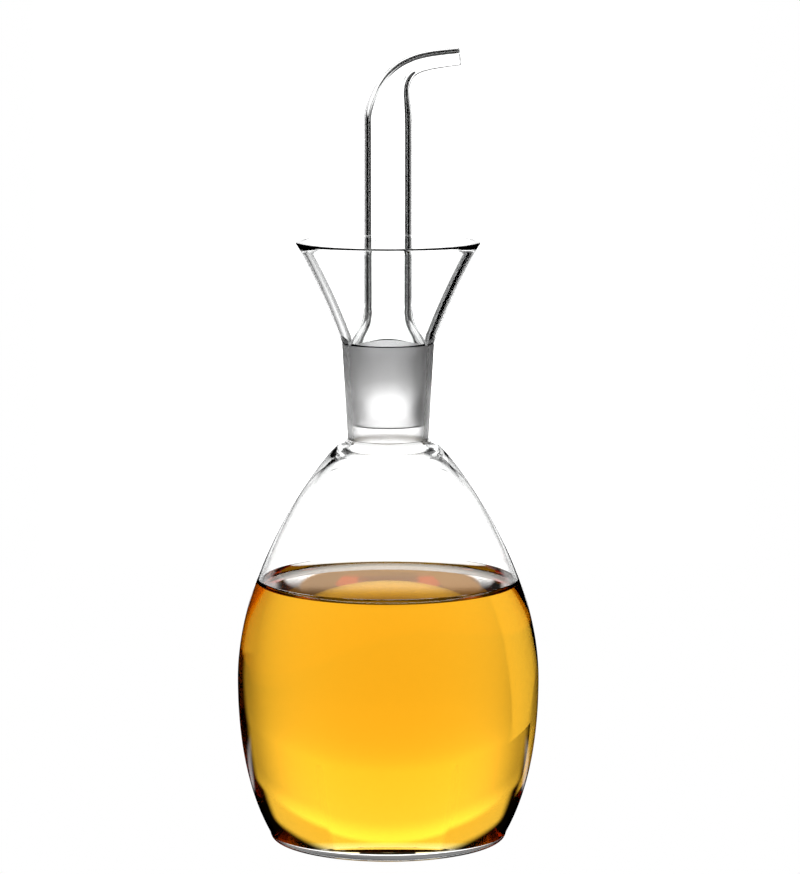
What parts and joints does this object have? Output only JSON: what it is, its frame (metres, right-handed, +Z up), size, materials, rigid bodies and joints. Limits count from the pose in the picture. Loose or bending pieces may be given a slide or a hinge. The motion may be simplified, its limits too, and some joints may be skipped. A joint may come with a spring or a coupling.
{
  "type": "glass oil bottle",
  "caption": "Blown clear-glass oil bottle with a drip funnel round its neck and a lift-out ground-glass pourer whose tube bends into a fine spout, partly filled with golden oil.",
  "frame": {"origin": "centre of the resting ring, on the surface that the bottle stands on", "axes": "+Z up along the bottle's axis; +X the way the spout points; the front view looks along +Y"},
  "size_m": [0.092, 0.092, 0.2409],
  "materials": {
    "clear_glass": "gloss",
    "ground_glass": "matte",
    "golden_oil": "gloss"
  },
  "bodies": {
    "bottle": {"vessel": "clear_glass", "neck_socket": "ground_glass", "drip_funnel": "clear_glass", "oil": "golden_oil"},
    "pourer_plug": {"ground_plug": "ground_glass"},
    "pourer_spout": {"plug_shoulder": "clear_glass", "riser_tube": "clear_glass", "bent_nozzle": "clear_glass"}
  },
  "joints": [
    {"name": "pourer_lift", "type": "slide", "parent": "bottle", "child": "pourer_plug", "axis": [0, 0, 1], "range_m": [0, 0.06]},
    {"name": "spout_turn", "type": "hinge", "parent": "pourer_plug", "child": "pourer_spout", "pos_m": [0, 0, 0.152], "axis": [0, 0, 1], "continuous": true}
  ]
}
